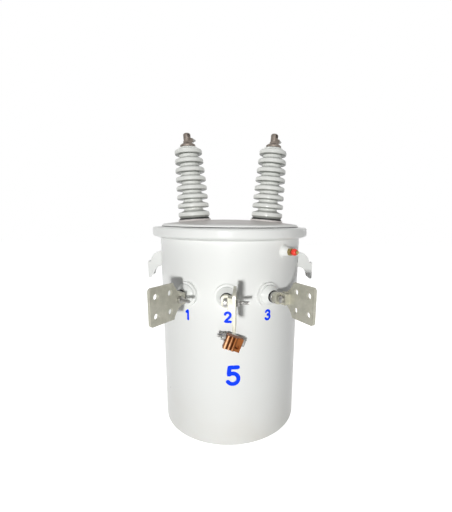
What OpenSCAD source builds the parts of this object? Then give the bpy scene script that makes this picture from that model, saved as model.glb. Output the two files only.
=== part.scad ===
// Pole mounted transformer, single phase, oil filled, standing on its base.
// Millimetres, +Z up, origin at the centre of the base, front towards -Y.

/* [Tank] */
// Outer diameter of the tank
tank_d = 416; // [360:1:480]
// Thickness of the rolled wall
wall_t = 3; // [2:0.5:5]
// Height of the wall up to the top of its flange
tank_h = 583; // [500:1:680]
// Reach of the flange beyond the wall
flange_reach = 13; // [9:1:18]
// Thickness of the bottom plate
bottom_t = 4; // [3:0.5:6]
// Height of the bottom plate above the floor
bottom_lift = 12; // [6:1:25]

/* [Cover] */
// Thickness of the lid
lid_t = 3; // [2:0.5:4]
// Height of the lid's upright edge above the flange
lid_edge_h = 17; // [14:1:24]
// Height of the domed lid above its edge
lid_rise = 13.5; // [9:0.5:18]
// Height of the lid's edge that shows above the clamp band
lid_show = 7; // [4:0.5:9]
// Thickness of the clamp band
band_t = 3; // [2:0.5:4]
// Outer reach of the clamp band beyond the tank wall
band_reach = 21; // [19:1:28]
// Drop of the band's lower lip below the flange
band_drop = 22; // [18:1:26]
// Opening between the band's ends
band_gap = 16; // [10:1:24]

/* [High voltage bushings] */
// Distance of each bushing's axis inside the tank's outer face
hv_inset = 99; // [88:1:116]
// Diameter of the base disc
hv_base_d = 93; // [84:1:100]
// Diameter of the top shed
hv_top_d = 79; // [70:1:86]
// Height from one shed to the next
hv_pitch = 25.2; // [22:0.1:30]
// Thickness of a shed at its rim
hv_rim_t = 14; // [10:0.5:16]
// Number of sheds above the base disc
hv_sheds = 7; // [4:1:9]
// Core diameter at the base
hv_core_low = 57; // [52:1:62]
// Core diameter at the top
hv_core_top = 55; // [50:1:60]
// Height of the round seat on the lid
hv_seat_h = 4; // [3:0.5:8]
// Thickness of the gasket under the porcelain
hv_gasket_t = 4; // [2:0.5:6]
// Diameter of the metal cap
hv_cap_d = 44; // [36:1:50]
// Width of the eye connector
hv_eye_w = 21; // [18:1:26]
// Height of the eye connector
hv_eye_h = 27; // [25:1:34]
// Diameter of the eye for the line
hv_eye_d = 9; // [6:0.5:10]
// Clamp bolt diameter of the eye connector
hv_bolt_d = 6; // [5:0.5:7]
// Turn of the eye connector about the bushing
hv_eye_turn = 35; // [0:5:60]

/* [Low voltage bushings] */
// Drop of the bushing axes below the tank's top
lv_drop = 159; // [140:1:190]
// Angle between neighbouring bushings
lv_spread = 30; // [26:1:40]
// Diameter of the round seat on the wall
lv_boss_d = 64; // [58:1:72]
// Height of the seat above the wall
lv_boss_h = 6; // [3:0.5:10]
// Diameter of the porcelain base
lv_base_d = 53; // [46:1:56]
// Length of the porcelain outside the seat
lv_len = 18; // [14:1:26]
// Diameter of the porcelain nose
lv_nose_d = 34; // [30:1:40]
// Diameter of the stud
lv_stud_d = 16; // [12:1:19]

/* [Spade pads] */
// Height of the spade pad
pad_h = 88; // [80:1:96]
// Length of its full-height part, away from the tank
pad_w = 74; // [70:1:84]
// Thickness of the pad
pad_t = 6.4; // [4:0.1:10]
// Distance between hole centres
pad_holes = 44.45; // [38:0.05:50]
// Hole diameter
pad_hole_d = 14.3; // [10:0.1:16]
// Distance of the pad's middle from the stud nut
pad_reach = 76; // [72:1:96]
// Sideways distance of the pad from the stud axis
pad_off = 22; // [20:1:26]
// Height of the clamp hub
hub_d = 30; // [26:1:34]
// Width of the clamp hub along the wall
hub_w = 22; // [20:1:26]
// Length of the clamp hub
hub_l = 33; // [30:1:38]
// Clamp bolt diameter
clamp_bolt_d = 8.5; // [7:0.5:10]

/* [Ground clamp] */
// Drop of the ground clamp below the low-voltage axes
ground_drop = 113; // [96:1:180]
// Angle of the ground clamp from the front
ground_az = 4; // [0:1:12]
// Width of the clamp block
ground_w = 44; // [40:1:50]
// Height of the clamp block
ground_h = 36; // [32:1:46]
// Depth of the clamp block
ground_t = 20; // [16:1:28]
// Turn of the clamp block
ground_turn = -20; // [-40:1:0]
// Diameter of the ground bolt
ground_bolt_d = 10; // [8:1:12]

/* [Relief valve] */
// Drop of the relief valve below the tank's top
relief_drop = 50; // [42:1:110]
// Angle of the relief valve from the front
relief_az = 45; // [36:1:60]
// Diameter of the welded boss at the wall
relief_d = 33; // [28:1:40]
// Height of the welded boss
relief_h = 17; // [10:1:22]

/* [Lifting lugs] */
// Drop of the lug's top below the tank's top
lug_drop = 64; // [54:1:110]
// Overall height of the lug
lug_h = 81; // [72:1:96]
// Reach of the lug beyond the wall
lug_reach = 44; // [38:1:54]
// Width of the bearing strip behind the web
lug_w = 30; // [20:1:40]
// Angle of the lugs from the front
lug_az = 85; // [75:1:90]
// Thickness of the lug's web, strip and lip
lug_t = 6; // [4:0.5:8]

/* [Pole brackets] */
// Height of the lower bracket's slot
hanger_z = 150; // [110:1:200]
// Distance between the bracket slots
hanger_gap = 286; // [250:1:320]
// Width of a bracket
hanger_w = 96; // [76:1:120]
// Height of a bracket
hanger_h = 80; // [70:1:100]
// Distance from the wall to the bracket's outer face
hanger_reach = 70; // [50:1:90]
// Plate thickness of a bracket
hanger_t = 8; // [6:1:10]
// Width of the bolt slot
slot_w = 21; // [17:1:26]
// Height of the bolt slot
slot_h = 42; // [34:1:52]

/* [Hidden] */
$fn = 96;
// Clearance where a piece seats on another
seat = 0.2;
// Width of a nut or a bolt's head across its flats, over the thread's diameter
flats_over_d = 1.6;
SIDES = [-1, 0, 1];

// Tank and lid
tank_r = tank_d / 2;
flange_r = tank_r + flange_reach;
lid_z = tank_h + seat;
lid_edge_r = tank_r - 2 * wall_t;
lid_edge_z = lid_z + lid_edge_h;
lid_top_z = lid_edge_z + lid_rise;
// Rounding of the lid's edge, and radius of the dome that starts inside it
lid_round = 5;
dome_r = (pow(lid_edge_r - lid_round, 2) + pow(lid_rise, 2)) / (2 * lid_rise);

// Clamp band: radius, lower and upper edges, and the lugs and bolt that close it
band_r = tank_r + band_reach;
band_low_z = tank_h - band_drop;
band_top_z = lid_edge_z - lid_show;
// Height that its lower lip slopes through, and the middle of the upright face above
band_rise = band_drop * 0.25;
band_mid_z = (band_low_z + band_rise + band_top_z) / 2;
band_lug_t = 6;
band_bolt_d = 10;
band_bolt_out = 14;
band_nut_t = 8;

// High-voltage bushings: places are heights along the bushing from the lid's surface
hv_x = tank_r - hv_inset;
hv_lid_z = lid_top_z - dome_r + sqrt(pow(dome_r, 2) - pow(hv_x, 2));
// They stand square to the dome
hv_lean = asin(hv_x / dome_r);
hv_flange_w = hv_seat_h + hv_gasket_t + 2 * seat;
// Height of the base disc's rim above its underside, a shed's hollow underneath, and the plain top
hv_rim = 11;
hv_droop = 1.5;
hv_crown = 13;
hv_first = hv_flange_w + hv_rim;
hv_top_w = hv_first + hv_sheds * hv_pitch + hv_crown;
// Diameter and length of the porcelain inside the tank, and the hole in the lid for it
hv_tail_d = hv_core_low - 1;
hv_tail_l = 30;
hv_bore_d = hv_tail_d + 2;
hv_seal_t = 4;
hv_seal_d = hv_cap_d * 0.75;
hv_cap_h = 8;
hv_eye_base = hv_top_w + 3 * seat + hv_seal_t + hv_cap_h;
// Height of the line's eye and of the clamp bolt above the connector's foot
hv_eye_up = hv_eye_h * 0.72;
hv_bolt_up = hv_eye_h * 0.34;
// Reach of the connector's ear, where the clamp bolt seats
hv_ear = hv_eye_w / 2 + 3;

// Low-voltage bushings and spade pads: places are distances from the tank axis
lv_z = tank_h - lv_drop;
lv_face = tank_r + lv_boss_h + seat;
lv_nose = lv_face + lv_len;
lv_gasket_t = 4;
lv_nut_t = 7;
// Length of the porcelain inside the tank, the wall's hole for it and its own hole for the stud
lv_tail_l = 40;
lv_bore_d = lv_nose_d + 4;
lv_stud_bore_d = lv_stud_d + 1;
hub_start = lv_nose + lv_gasket_t + lv_nut_t + 3 * seat;
hub_end = hub_start + hub_l;
pad_mid = hub_start + pad_reach;
// How far the plate's middle lies beyond the middle of its holes
pad_lead = 4;
// Depth of the hub's socket for the stud, length of its round part, and the flat for the bolt's head
hub_socket = hub_l * 0.3;
hub_round_l = hub_l * 0.4;
hub_flat = hub_w / 5;
bolt_rho = hub_start + hub_l * 0.7;
// Width across flats of the clamp bolt's head and nut, their thickness, and its bare thread
clamp_flats = 16;
clamp_head_t = 10;
clamp_nut_t = 6.5;
clamp_tail = 23;

// Ground clamp: place, its boss, the ribs on its face and the block behind them
ground_z = lv_z - ground_drop;
ground_boss_d = ground_h - 3;
ground_boss_h = 16;
ground_face = tank_r + ground_boss_h;
ground_bolt_up = ground_h / 5;
rib_d = ground_w / 4.4;
ground_body_t = ground_t - rib_d / 2;

// Relief valve: place, narrow end of its boss, then the hexagon, cap and stem
relief_z = tank_h - relief_drop;
relief_end_d = relief_d * 0.66;
relief_face = tank_r + relief_h + seat;
relief_flats = 18;
relief_nut_t = 9;
relief_cap_t = 14;
relief_stem_d = 7;

// Lifting lugs: height of the tip, of the arch's springing above it, and the arch's radius
lug_z = tank_h - lug_drop - lug_h;
lug_foot = lug_h / 10;
lug_arch_r = lug_reach * 0.62;

// Pole brackets: outer face, and length of the side plates before the tank's curve is cut from them
hanger_y = tank_r + hanger_reach;
hanger_l = hanger_reach + hanger_w / 3;

// Points of an arc about c, from angle a0 to a1
function arc(c, r, a0, a1, n = 6) =
    [for (i = [0 : n]) let (a = a0 + (a1 - a0) * i / n) [c[0] + r * cos(a), c[1] + r * sin(a)]];

// Frame on the wall: Z points out from the tank axis, Y up, X along the wall
module on_wall(az, z) {
    rotate([0, 0, az]) translate([0, 0, z]) rotate([90, 0, 0]) children();
}

// Stands an outline drawn as (out, up) on edge in the wall's frame, from x to x + t
module on_edge(x, t) {
    translate([x + t, 0, 0]) rotate([0, -90, 0]) linear_extrude(t) children();
}

// Ring or disc along Z
module ring(d, z0, z1, bore = 0) {
    translate([0, 0, z0]) difference() {
        cylinder(d = d, h = z1 - z0);
        if (bore > 0) translate([0, 0, -1]) cylinder(d = bore, h = z1 - z0 + 2);
    }
}

// Hexagon along Z, by its width across flats
module hexagon(flats, z0, z1) {
    translate([0, 0, z0]) cylinder(d = flats / cos(30), h = z1 - z0, $fn = 6);
}

module tank_space(r) {
    translate([0, 0, -1]) cylinder(r = r, h = tank_h + 2, $fn = 180);
}

// Tank
module tank_wall() {
    inner_r = tank_r - wall_t;
    color("whitesmoke") difference() {
        rotate_extrude($fn = 180) polygon([
            [inner_r, 0], [tank_r, 0], [tank_r, tank_h - wall_t],
            [flange_r, tank_h - wall_t], [flange_r, tank_h], [inner_r, tank_h]
        ]);
        for (side = SIDES) on_wall(side * lv_spread, lv_z)
            translate([0, 0, inner_r - 4 * wall_t]) cylinder(d = lv_bore_d, h = 8 * wall_t);
    }
}

module tank_bottom() {
    plate_r = tank_r - wall_t - seat;
    color("whitesmoke") rotate_extrude($fn = 180) polygon([
        [0, bottom_lift], [plate_r - bottom_t, bottom_lift], [plate_r - bottom_t, bottom_lift / 3],
        [plate_r, bottom_lift / 3], [plate_r, bottom_lift + bottom_t], [0, bottom_lift + bottom_t]
    ]);
}

// Cover
module at_hv(side) {
    translate([side * hv_x, 0, hv_lid_z]) rotate([0, side * hv_lean, 0]) children();
}

module lid() {
    corner = [lid_edge_r - lid_round, lid_edge_z - lid_round];
    middle = [0, lid_top_z - dome_r];
    inner_r = lid_edge_r - lid_t;
    edge_a = acos((lid_edge_r - lid_round) / dome_r);
    shell = concat(
        [[flange_r, lid_z], [flange_r, lid_z + lid_t], [lid_edge_r, lid_z + lid_t]],
        arc(corner, lid_round, 0, edge_a),
        arc(middle, dome_r, edge_a, 90, 12),
        arc(middle, dome_r - lid_t, 90, acos(inner_r / (dome_r - lid_t)), 12),
        [[inner_r, lid_z]]
    );
    color("gainsboro") difference() {
        union() {
            rotate_extrude($fn = 180) polygon(shell);
            for (side = [-1, 1]) at_hv(side) ring(hv_base_d + 4, -lid_t, hv_seat_h);
        }
        for (side = [-1, 1]) at_hv(side)
            translate([0, 0, -hv_tail_l]) cylinder(d = hv_bore_d, h = 2 * hv_tail_l);
    }
}

module cover_band() {
    top_r = lid_edge_r + 2 * seat;
    low_r = tank_r + seat;
    round_r = 2 * band_t;
    low_corner = [band_r - round_r, band_low_z + band_rise + round_r];
    high_corner = [band_r - round_r, band_top_z - band_t / 2 - round_r];
    outer = concat([[low_r, band_low_z]], arc(low_corner, round_r, -68, 0),
        arc(high_corner, round_r, 0, 75), [[top_r, band_top_z]]);
    inner = concat([[top_r, band_top_z - band_t]], arc(high_corner, round_r - band_t, 75, 0),
        arc(low_corner, round_r - band_t, 0, -68), [[low_r, band_low_z + band_t]]);
    tab_h = band_top_z - band_low_z - band_rise;
    color("whitesmoke") difference() {
        union() {
            rotate_extrude($fn = 180) polygon(concat(outer, inner));
            for (x = [-band_gap / 2 - band_lug_t, band_gap / 2])
                translate([x, band_r - band_t, band_mid_z - tab_h / 2])
                    cube([band_lug_t, 2 * band_bolt_out, tab_h]);
        }
        translate([-band_gap / 2, tank_r - band_reach, band_low_z - 1])
            cube([band_gap, 4 * band_reach, band_top_z - band_low_z + 2]);
        translate([-band_gap - band_lug_t, band_r + band_bolt_out, band_mid_z]) rotate([0, 90, 0])
            cylinder(d = band_bolt_d + 1, h = 2 * (band_gap + band_lug_t));
    }
}

module band_bolt() {
    grip = band_gap / 2 + band_lug_t;
    flats = band_bolt_d * flats_over_d;
    tail = 1.4 * band_bolt_d;
    color("silver") translate([0, band_r + band_bolt_out, band_mid_z]) rotate([0, 90, 0]) {
        ring(band_bolt_d, -grip - 3, grip + band_nut_t + tail);
        hexagon(flats, -grip - band_nut_t, -grip);
        hexagon(flats, grip, grip + band_nut_t);
    }
}

// High voltage bushings
function hv_shed_r(k) = (hv_top_d + (hv_base_d - hv_top_d) * (1 - pow(k / hv_sheds, 1.8))) / 2;
function hv_core_r(k) = (hv_core_low + (hv_core_top - hv_core_low) * k / hv_sheds) / 2;
function hv_top(k, w, from) = concat(
    arc([hv_shed_r(k) - hv_rim_t / 2, w], hv_rim_t / 2, from, 70, 7),
    [[hv_core_r(k) + 3, w + hv_rim_t * 0.7], [hv_core_r(k), w + hv_rim_t * 0.85]]
);
function hv_shed(k, w) = concat(
    [[hv_core_r(k), w - hv_rim_t / 2], [hv_core_r(k) + 2, w - hv_rim_t / 2 + hv_droop]],
    [[hv_shed_r(k) - hv_rim_t / 2, w - hv_rim_t / 2]],
    hv_top(k, w, -80)
);

module hv_gasket(side) {
    color("black") at_hv(side)
        ring(hv_base_d - 3, hv_seat_h + seat, hv_flange_w - seat, hv_bore_d);
}

module hv_bushing(side) {
    base_r = hv_base_d / 2;
    profile = concat(
        [[0, -hv_tail_l], [hv_tail_d / 2, -hv_tail_l], [hv_tail_d / 2, hv_flange_w]],
        [[base_r - hv_rim_t / 3, hv_flange_w]],
        hv_top(0, hv_first, -60),
        [for (k = [1 : hv_sheds]) each hv_shed(k, hv_first + k * hv_pitch)],
        [[hv_core_r(hv_sheds), hv_top_w], [0, hv_top_w]]
    );
    color("lightgray") at_hv(side) rotate_extrude() polygon(profile);
}

module hv_seal(side) {
    color("black") at_hv(side)
        ring(hv_seal_d, hv_top_w + seat, hv_top_w + seat + hv_seal_t);
}

module hv_cap(side) {
    cap_w = hv_top_w + 2 * seat + hv_seal_t;
    cap_r = hv_cap_d / 2;
    lip_t = 2.5;
    color("darkgray") at_hv(side) translate([0, 0, cap_w]) rotate_extrude() polygon([
        [0, 0], [cap_r - lip_t, 0], [cap_r - lip_t, -lip_t], [cap_r, -lip_t], [cap_r, hv_cap_h / 3],
        [cap_r * 0.8, hv_cap_h * 0.75], [hv_eye_w * 0.65, hv_cap_h], [0, hv_cap_h]
    ]);
}

module hv_terminal(side) {
    foot_h = 5;
    crown = 3;
    eye_r = hv_eye_w / 2;
    color("dimgray") at_hv(side) translate([0, 0, hv_eye_base]) rotate([0, 0, hv_eye_turn]) difference() {
        union() {
            hexagon(hv_eye_w + 2, 0, foot_h);
            rotate_extrude() polygon([
                [0, foot_h / 2], [eye_r, foot_h / 2], [eye_r, hv_eye_h - crown],
                [eye_r - crown, hv_eye_h], [0, hv_eye_h]
            ]);
            translate([0, -eye_r * 0.8, foot_h / 2]) cube([hv_ear, eye_r * 1.6, hv_bolt_up + 2]);
        }
        translate([0, -hv_eye_w, hv_eye_up]) rotate([-90, 0, 0]) cylinder(d = hv_eye_d, h = 2 * hv_eye_w);
        translate([0, 0, hv_bolt_up]) rotate([0, 90, 0]) cylinder(d = hv_bolt_d + 2 * seat, h = hv_eye_w);
    }
}

module hv_clamp_bolt(side) {
    flats = hv_bolt_d * flats_over_d;
    washer_t = 2;
    color("gray") at_hv(side) translate([0, 0, hv_eye_base]) rotate([0, 0, hv_eye_turn])
        translate([0, 0, hv_bolt_up]) rotate([0, 90, 0]) {
            ring(hv_bolt_d, 1, hv_ear + 2 * hv_bolt_d);
            ring(flats * 1.3, hv_ear + seat, hv_ear + washer_t);
            hexagon(flats, hv_ear + washer_t - seat, hv_ear + washer_t + hv_bolt_d * 0.85);
        }
}

// Low voltage bushings
module lv_boss(side) {
    color("whitesmoke") difference() {
        on_wall(side * lv_spread, lv_z)
            ring(lv_boss_d, tank_r - lv_boss_d / 4, tank_r + lv_boss_h, lv_bore_d);
        tank_space(tank_r + seat / 2);
    }
}

module lv_bushing(side) {
    base_r = lv_base_d / 2;
    nose_r = lv_nose_d / 2;
    round_r = 3.5;
    profile = concat(
        [[0, tank_r - lv_tail_l], [nose_r, tank_r - lv_tail_l], [nose_r, lv_face], [base_r, lv_face]],
        arc([base_r - round_r, lv_face + round_r], round_r, 0, 70),
        arc([nose_r - round_r, lv_nose - round_r], round_r, 30, 90),
        [[0, lv_nose]]
    );
    color("lightgray") on_wall(side * lv_spread, lv_z) difference() {
        rotate_extrude() polygon(profile);
        translate([0, 0, tank_r - 2 * lv_tail_l]) cylinder(d = lv_stud_bore_d, h = 4 * lv_tail_l);
    }
}

module lv_gasket(side) {
    color("black") on_wall(side * lv_spread, lv_z)
        ring(lv_nose_d - 3, lv_nose + seat, lv_nose + seat + lv_gasket_t, lv_stud_bore_d);
}

module lv_stud(side) {
    nut = lv_nose + 2 * seat + lv_gasket_t;
    color("silver") on_wall(side * lv_spread, lv_z) {
        ring(lv_stud_d, tank_r - lv_tail_l - 10, hub_start + hub_socket);
        ring(lv_nose_d - 6, nut, nut + lv_nut_t);
    }
}

module lv_spade(side) {
    half = pad_h / 2;
    start = pad_mid + pad_lead - pad_w / 2;
    end = pad_mid + pad_lead + pad_w / 2;
    shoulder = 30;
    neck = half - shoulder;
    // The shoulder's curve runs from 70 to 20 degrees, so it covers this share of its radius
    curve_r = shoulder / (cos(20) - cos(70));
    curve = [start - curve_r * cos(20), half + curve_r * sin(20)];
    corner_r = 8;
    block_h = hub_d * 0.84;
    block_l = hub_l - 3;
    outline = concat(
        [[hub_start + 2, -neck]], arc([curve[0], -curve[1]], curve_r, 70, 20),
        arc([end - corner_r, -half + corner_r], corner_r, -90, 0),
        arc([end - corner_r, half - corner_r], corner_r, 0, 90),
        arc(curve, curve_r, -20, -70), [[hub_start + 2, neck]]
    );
    color("darkkhaki") on_wall(side * lv_spread, lv_z) difference() {
        union() {
            on_edge(pad_off - pad_t / 2, pad_t) polygon(outline);
            intersection() {
                ring(hub_d, hub_start, hub_end);
                union() {
                    translate([-hub_w / 2, -hub_d, hub_start]) cube([hub_w, 2 * hub_d, hub_round_l]);
                    translate([hub_flat, -hub_d, hub_start])
                        cube([hub_w / 2 - hub_flat, 2 * hub_d, hub_l]);
                }
            }
            translate([hub_flat, -block_h / 2, hub_end - block_l])
                cube([pad_off - hub_flat, block_h, block_l]);
        }
        translate([0, 0, hub_start - 1]) cylinder(d = lv_stud_d + 2 * seat, h = 1 + 2 * seat + hub_socket);
        for (u = [-1, 1], v = [-1, 1])
            translate([0, v * pad_holes / 2, pad_mid + u * pad_holes / 2]) rotate([0, 90, 0])
                cylinder(d = pad_hole_d, h = pad_off + pad_t);
        translate([-hub_d, 0, bolt_rho]) rotate([0, 90, 0])
            cylinder(d = clamp_bolt_d + 3 * seat, h = 2 * hub_d + pad_off);
    }
}

module lv_clamp_bolt(side) {
    head = hub_flat - seat;
    nut = pad_off + pad_t / 2 + seat;
    color("silver") on_wall(side * lv_spread, lv_z) translate([0, 0, bolt_rho]) rotate([0, 90, 0]) {
        ring(clamp_bolt_d, head - clamp_head_t / 2, nut + clamp_nut_t + clamp_tail);
        hexagon(clamp_flats, head - clamp_head_t, head);
        hexagon(clamp_flats, nut, nut + clamp_nut_t);
    }
}

// Ground clamp
module ground_boss() {
    color("whitesmoke") difference() {
        on_wall(ground_az, ground_z) ring(ground_boss_d, tank_r - ground_boss_d / 4, ground_face - seat);
        tank_space(tank_r + seat / 2);
    }
}

module at_ground() {
    on_wall(ground_az, ground_z) translate([0, 0, ground_face]) rotate([0, 0, ground_turn]) children();
}

module ground_clamp() {
    ribs = 3;
    port_d = ground_w / 4;
    color("peru") at_ground() difference() {
        union() {
            translate([-ground_w / 2, -ground_h / 2, 0]) cube([ground_w, ground_h, ground_body_t]);
            for (i = [0 : ribs - 1])
                translate([-ground_w / 2 + (i + 0.5) * rib_d, -ground_h / 2, ground_body_t])
                    rotate([-90, 0, 0]) cylinder(d = rib_d * 0.94, h = ground_h);
        }
        translate([-ground_w, ground_bolt_up, ground_body_t / 2]) rotate([0, 90, 0])
            cylinder(d = ground_bolt_d + 2 * seat, h = 2 * ground_w);
        translate([ground_w / 2 - port_d * 0.85, -ground_h / 7, ground_body_t / 2])
            cylinder(d = port_d, h = ground_t);
    }
}

module ground_bolt() {
    flats = ground_bolt_d * flats_over_d;
    half = ground_w / 2 + seat;
    color("silver") at_ground() translate([0, ground_bolt_up, ground_body_t / 2]) rotate([0, 90, 0]) {
        ring(ground_bolt_d, -half - 2.2 * ground_bolt_d, half + 4);
        hexagon(flats, -half - ground_bolt_d, -half);
        hexagon(flats, half, half + ground_bolt_d * 0.6);
    }
}

// Relief valve
module relief_boss() {
    color("whitesmoke") difference() {
        on_wall(relief_az, relief_z) translate([0, 0, tank_r - relief_h])
            cylinder(d1 = relief_d + (relief_d - relief_end_d), d2 = relief_end_d, h = 2 * relief_h);
        tank_space(tank_r + seat / 2);
    }
}

module relief_valve() {
    color("goldenrod") on_wall(relief_az, relief_z) translate([0, 0, relief_face]) {
        hexagon(relief_flats, 0, relief_nut_t);
        ring(relief_stem_d, relief_nut_t - 1, relief_nut_t + relief_cap_t + 5);
        ring(relief_stem_d + 3, relief_nut_t + relief_cap_t + 1, relief_nut_t + relief_cap_t + 3);
    }
}

module relief_ring() {
    half = relief_cap_t / 2;
    bulge = 2.5;
    middle = relief_face + relief_nut_t + seat + half;
    color("firebrick") on_wall(relief_az, relief_z) translate([0, 0, middle]) rotate_extrude() polygon([
        [relief_stem_d / 2 + seat, -half], [relief_flats / 2 - bulge, -half], [relief_flats / 2, -half / 3],
        [relief_flats / 2, half / 3], [relief_flats / 2 - bulge, half], [relief_stem_d / 2 + seat, half]
    ]);
}

// Lifting lugs
// Outline of the web, as (out, up) from the tank axis and the floor
module lug_web() {
    top_r = lug_reach - lug_t - 3;
    difference() {
        union() {
            translate([tank_r, lug_z + lug_h - top_r]) circle(r = top_r);
            translate([tank_r - lug_t, lug_z]) square([lug_reach, lug_h * 0.6]);
        }
        translate([tank_r, lug_z + lug_foot]) circle(r = lug_arch_r);
        polygon([
            [tank_r - 2 * lug_t, lug_z + lug_foot], [tank_r + lug_arch_r, lug_z + lug_foot],
            [tank_r + lug_reach - lug_t, lug_z - 1], [tank_r - 2 * lug_t, lug_z - 1]
        ]);
    }
}

// Outline of the strip that bends round the arch and down the lip
module lug_strip() {
    lip_x = tank_r + lug_reach - lug_t;
    intersection() {
        union() {
            translate([tank_r, lug_z + lug_foot]) circle(r = lug_arch_r + lug_t * 0.7);
            translate([lip_x, lug_z]) square([lug_t, lug_h * 0.6]);
        }
        union() {
            lug_web();
            translate([lip_x, lug_z]) square([lug_t, lug_h * 0.6]);
        }
    }
}

module lifting_lug(side) {
    color("whitesmoke") difference() {
        mirror([side < 0 ? 1 : 0, 0, 0]) rotate([0, 0, lug_az]) rotate([90, 0, 0]) union() {
            on_edge(-lug_t / 2, lug_t) lug_web();
            on_edge(-lug_t / 2, lug_w) lug_strip();
        }
        tank_space(tank_r + seat / 2);
    }
}

// Pole brackets
module hanger(z) {
    color("whitesmoke") difference() {
        translate([-hanger_w / 2, hanger_y - hanger_l, z - hanger_h / 2])
            cube([hanger_w, hanger_l, hanger_h]);
        translate([-hanger_w / 2 + hanger_t, hanger_y - hanger_l - 1, z - hanger_h])
            cube([hanger_w - 2 * hanger_t, hanger_l + 1 - hanger_t, 2 * hanger_h]);
        translate([0, hanger_y + 1, z]) rotate([90, 0, 0]) {
            for (s = [-1, 1]) translate([0, s * (slot_h - slot_w) / 2, 0])
                cylinder(d = slot_w, h = hanger_t + 2);
            translate([-slot_w / 2, -(slot_h - slot_w) / 2, 0])
                cube([slot_w, slot_h - slot_w, hanger_t + 2]);
        }
        tank_space(tank_r + seat / 2);
    }
}

tank_wall();
tank_bottom();
lid();
cover_band();
band_bolt();
hv_gasket(-1);  // hv_gasket_left
hv_gasket(1);  // hv_gasket_right
hv_bushing(-1);  // hv_bushing_left
hv_bushing(1);  // hv_bushing_right
hv_seal(-1);  // hv_seal_left
hv_seal(1);  // hv_seal_right
hv_cap(-1);  // hv_cap_left
hv_cap(1);  // hv_cap_right
hv_terminal(-1);  // hv_terminal_left
hv_terminal(1);  // hv_terminal_right
hv_clamp_bolt(-1);  // hv_clamp_bolt_left
hv_clamp_bolt(1);  // hv_clamp_bolt_right
lv_boss(-1);  // lv_boss_left
lv_boss(0);  // lv_boss_centre
lv_boss(1);  // lv_boss_right
lv_bushing(-1);  // lv_bushing_left
lv_bushing(0);  // lv_bushing_centre
lv_bushing(1);  // lv_bushing_right
lv_gasket(-1);  // lv_gasket_left
lv_gasket(0);  // lv_gasket_centre
lv_gasket(1);  // lv_gasket_right
lv_stud(-1);  // lv_stud_left
lv_stud(0);  // lv_stud_centre
lv_stud(1);  // lv_stud_right
lv_spade(-1);  // lv_spade_left
lv_spade(0);  // lv_spade_centre
lv_spade(1);  // lv_spade_right
lv_clamp_bolt(-1);  // lv_clamp_bolt_left
lv_clamp_bolt(0);  // lv_clamp_bolt_centre
lv_clamp_bolt(1);  // lv_clamp_bolt_right
ground_boss();
ground_clamp();
ground_bolt();
relief_boss();
relief_valve();
relief_ring();
lifting_lug(-1);  // lifting_lug_left
lifting_lug(1);  // lifting_lug_right
hanger(hanger_z + hanger_gap);  // upper_hanger
hanger(hanger_z);  // lower_hanger
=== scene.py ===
"""Looks of a small pole mounted transformer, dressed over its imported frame.

Every length is in metres, in the frame's own axes: +Z up, the low-voltage front towards -Y.
"""

from __future__ import annotations

import logging
import math
from dataclasses import dataclass, field, replace
from enum import Enum
from typing import Any, Sequence

import bmesh
import bpy
from mathutils import Matrix, Vector

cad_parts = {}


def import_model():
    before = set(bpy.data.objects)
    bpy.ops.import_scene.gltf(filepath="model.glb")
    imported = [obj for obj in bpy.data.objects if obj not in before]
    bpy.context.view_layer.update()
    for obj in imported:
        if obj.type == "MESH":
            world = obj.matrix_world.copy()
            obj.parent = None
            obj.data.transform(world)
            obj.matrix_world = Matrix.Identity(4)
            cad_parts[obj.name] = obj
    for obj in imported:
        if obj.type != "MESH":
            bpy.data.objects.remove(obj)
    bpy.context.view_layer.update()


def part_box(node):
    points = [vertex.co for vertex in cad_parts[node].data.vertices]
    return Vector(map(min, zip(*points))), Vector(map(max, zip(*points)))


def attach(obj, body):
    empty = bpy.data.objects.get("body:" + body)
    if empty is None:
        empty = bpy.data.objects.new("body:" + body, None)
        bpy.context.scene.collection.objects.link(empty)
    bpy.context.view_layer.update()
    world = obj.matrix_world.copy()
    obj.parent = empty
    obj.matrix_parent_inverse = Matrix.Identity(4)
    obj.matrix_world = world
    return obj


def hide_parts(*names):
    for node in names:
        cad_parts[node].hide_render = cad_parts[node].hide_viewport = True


LOG = logging.getLogger("transformer")
BODY = "root"
# Mesh attribute for the painted shade under porcelain sheds, partly soil
UNDERSIDE_SHADE = "underside"
MM = 0.001
FULL_TURN = math.tau
UP = Vector((0.0, 0.0, 1.0))
BACK = Vector((0.0, 1.0, 0.0))
RIGHT = Vector((1.0, 0.0, 0.0))
WHITE = (1.0, 1.0, 1.0, 1.0)

# Distances under which vertices are merged, and bends in degrees
SPUN_MERGE = 1e-6
NODE_MERGE = 2e-6
FLAT_BEND = 0.5
EASED_BEND = 35.0
SMOOTH_BEND = 38.0

# Sockets of the Mix node when it blends colours
MIX_SHARE = 0
MIX_FIRST = 6
MIX_SECOND = 7
MIX_RESULT = 2

Point = tuple[float, float]
Corner = tuple[float, float, float]
Triple = tuple[float, float, float]
Colour = tuple[float, float, float]


class Side(Enum):
    """Which of a pair or a row of three a piece is, by its sign along X."""

    LEFT = -1
    CENTRE = 0
    RIGHT = 1

    @property
    def word(self) -> str:
        """The word that node names use for this side."""
        return self.name.lower()


# Shader kit


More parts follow.
